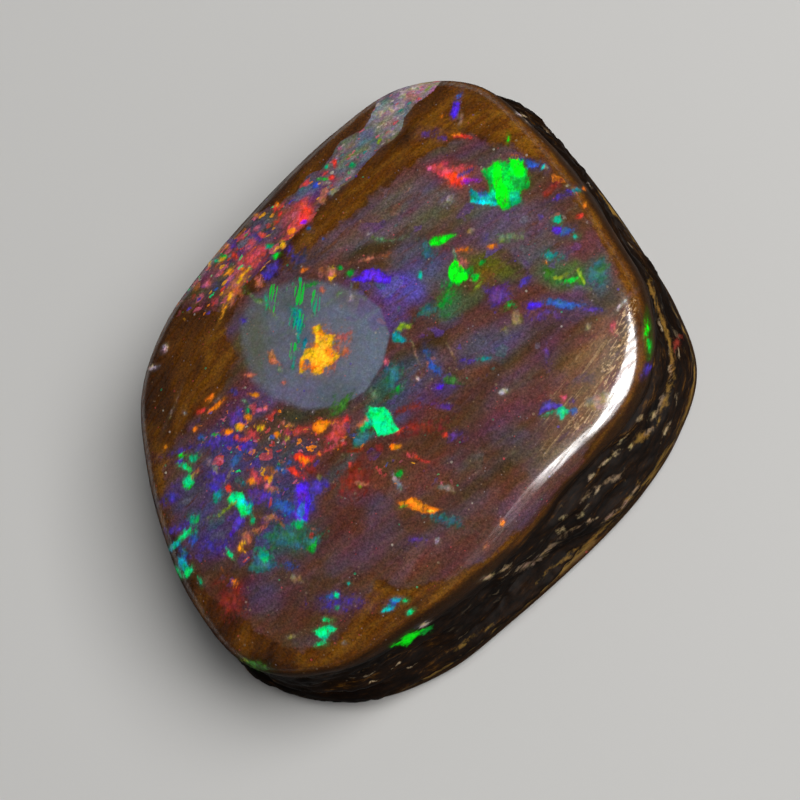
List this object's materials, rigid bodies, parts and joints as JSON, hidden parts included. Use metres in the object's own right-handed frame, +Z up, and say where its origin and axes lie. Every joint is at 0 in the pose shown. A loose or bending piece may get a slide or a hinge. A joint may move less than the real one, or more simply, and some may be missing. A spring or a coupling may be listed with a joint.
{
  "type": "boulder opal",
  "caption": "Loose polished freeform cabochon of precious opal in brown ironstone, with a domed face, a rough natural side wall and a flat sawn base.",
  "frame": {"origin": "middle of the stone's box, on the flat base that it rests on", "axes": "+Z up out of the polished face, +Y along the longest extent of the outline, +X across it"},
  "size_m": [0.0101, 0.012, 0.0033],
  "materials": {
    "boulder_opal": "polished face with flashes of green, blue, violet, orange and red in a mauve haze over brown ironstone, satin natural side wall, sawn base"
  },
  "bodies": {
    "root": {"opal_stone": "boulder_opal"}
  },
  "joints": []
}
